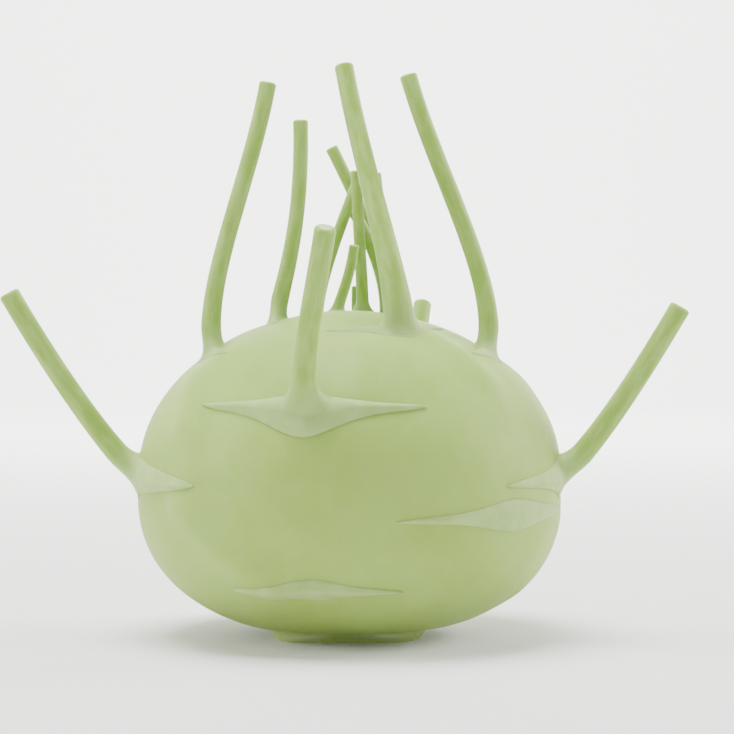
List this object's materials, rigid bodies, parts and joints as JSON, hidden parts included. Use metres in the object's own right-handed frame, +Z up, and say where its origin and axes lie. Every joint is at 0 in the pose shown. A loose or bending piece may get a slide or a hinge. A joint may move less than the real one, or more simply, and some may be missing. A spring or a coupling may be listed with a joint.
{
  "type": "kohlrabi",
  "caption": "Trimmed kohlrabi: a round swollen stem on its root stub, ringed by leaf scars and cut leaf stalks that sprout from clasping bases.",
  "frame": {"origin": "middle of the flat cut under the root stub", "axes": "+Z up along the axis of the bulb, +Y towards the back, +X to the right"},
  "size_m": [0.1599, 0.1383, 0.1351],
  "materials": {
    "bulb_skin": "waxy satin, pale green",
    "leaf_stalk": "waxy satin, pale green"
  },
  "bodies": {
    "root": {"bulb": "bulb_skin", "leaf_stalk_01": "leaf_stalk", "leaf_stalk_02": "leaf_stalk", "leaf_stalk_03": "leaf_stalk", "leaf_stalk_04": "leaf_stalk", "leaf_stalk_05": "leaf_stalk", "leaf_stalk_06": "leaf_stalk", "leaf_stalk_07": "leaf_stalk", "leaf_stalk_08": "leaf_stalk", "leaf_stalk_09": "leaf_stalk", "leaf_stalk_10": "leaf_stalk", "leaf_stalk_11": "leaf_stalk", "leaf_stalk_12": "leaf_stalk", "leaf_stalk_13": "leaf_stalk", "leaf_stalk_14": "leaf_stalk", "leaf_stalk_15": "leaf_stalk"}
  },
  "joints": []
}
